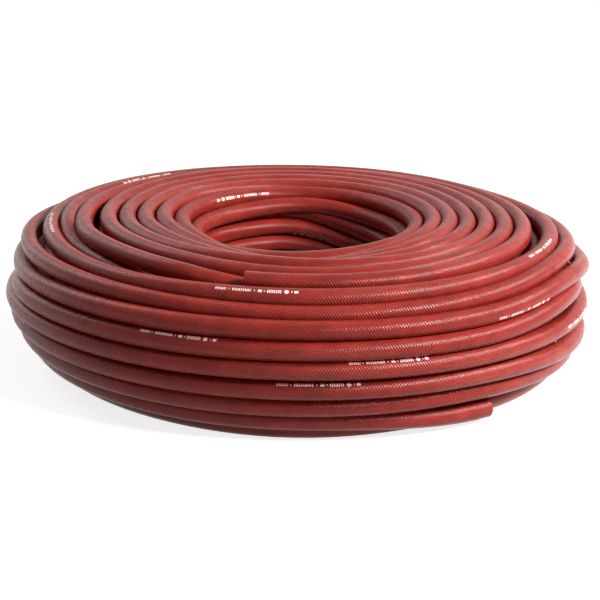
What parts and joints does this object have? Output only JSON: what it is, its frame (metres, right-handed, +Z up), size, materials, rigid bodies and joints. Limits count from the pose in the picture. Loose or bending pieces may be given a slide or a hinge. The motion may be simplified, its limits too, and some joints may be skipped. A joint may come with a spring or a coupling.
{
  "type": "rubber gas tubing",
  "caption": "Coil of smooth reinforced rubber gas tubing lying flat, with both cut ends free, for connecting burners and gas taps.",
  "frame": {"origin": "middle of the coil's bounding box, on the floor under it", "axes": "+Z up along the coil's axis; the coil's front is -Y, with the end that lies on the floor to the right of it"},
  "size_m": [0.3938, 0.3936, 0.098],
  "materials": {
    "rubber": "matte brick-red rubber"
  },
  "bodies": {
    "root": {"coil": "rubber", "outer_end": "rubber", "inner_end": "rubber"}
  },
  "joints": []
}
